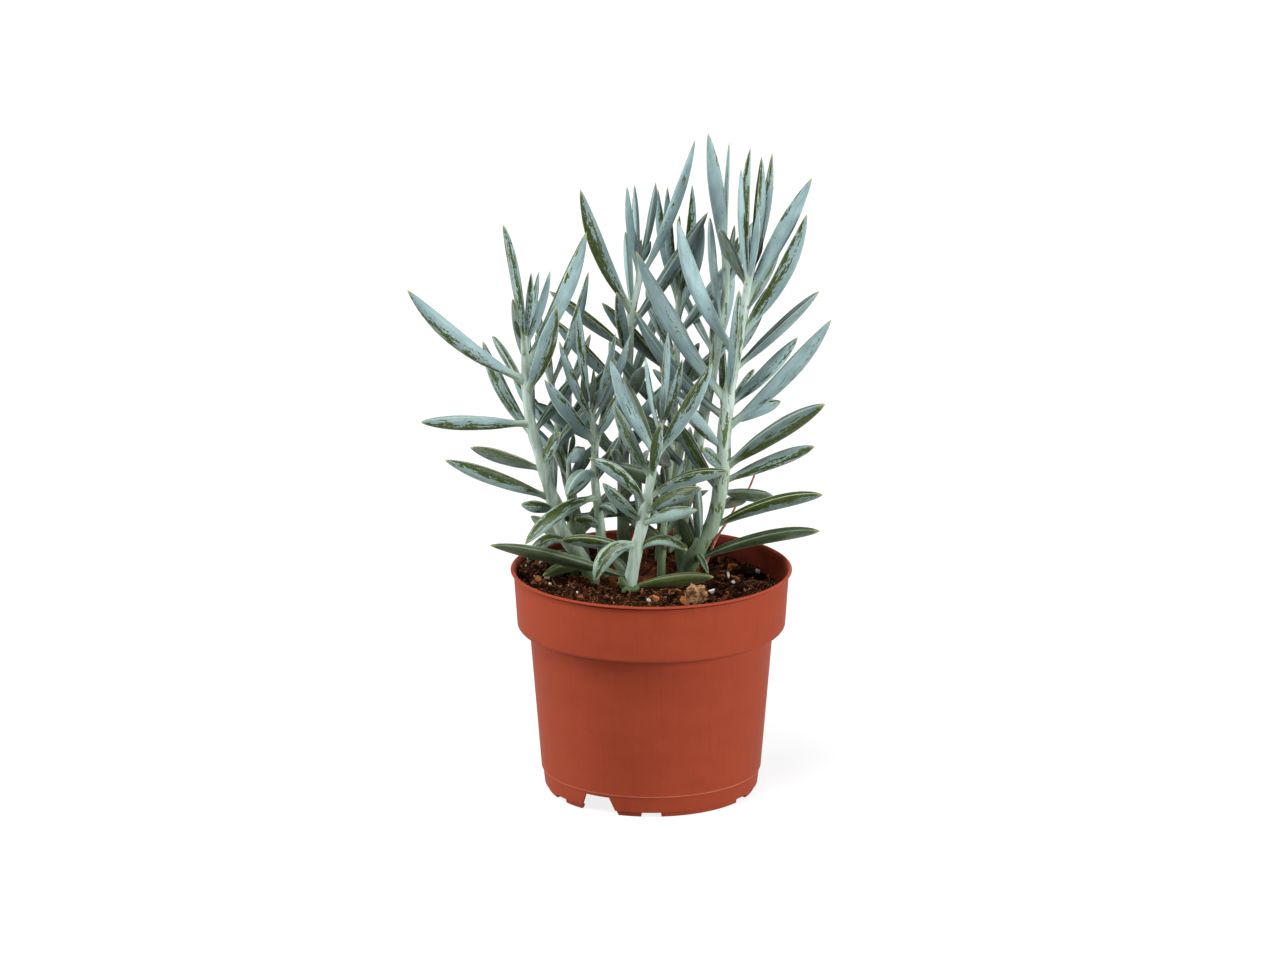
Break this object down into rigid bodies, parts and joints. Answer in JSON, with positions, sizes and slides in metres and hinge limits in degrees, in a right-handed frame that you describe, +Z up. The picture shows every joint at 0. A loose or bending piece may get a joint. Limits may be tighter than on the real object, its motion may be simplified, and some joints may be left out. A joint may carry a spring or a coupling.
{
  "type": "potted chalk-stick succulent",
  "caption": "Bushy succulent of leafy stems with long pointed blue-grey leaves, rooted in dark peat in a round terracotta-coloured plastic nursery pot with a wide collar.",
  "frame": {"origin": "on the pot's axis, in the plane that the pot stands on", "axes": "+Z up along the pot's axis, +X to the right as the plant is seen from its front, -Y towards the front"},
  "size_m": [0.1777, 0.1431, 0.282],
  "materials": {
    "terracotta_plastic": "satin",
    "peat": "matte",
    "leaf": "matte"
  },
  "bodies": {
    "root": {"pot": "terracotta_plastic", "soil": "peat", "stem_left": "leaf", "stem_left_back": "leaf", "stem_front_left": "leaf", "stem_front": "leaf", "stem_right": "leaf", "stem_tall_left": "leaf", "stem_back": "leaf", "stem_tall_right": "leaf", "stem_low_left": "leaf", "stem_low_middle": "leaf"}
  },
  "joints": []
}
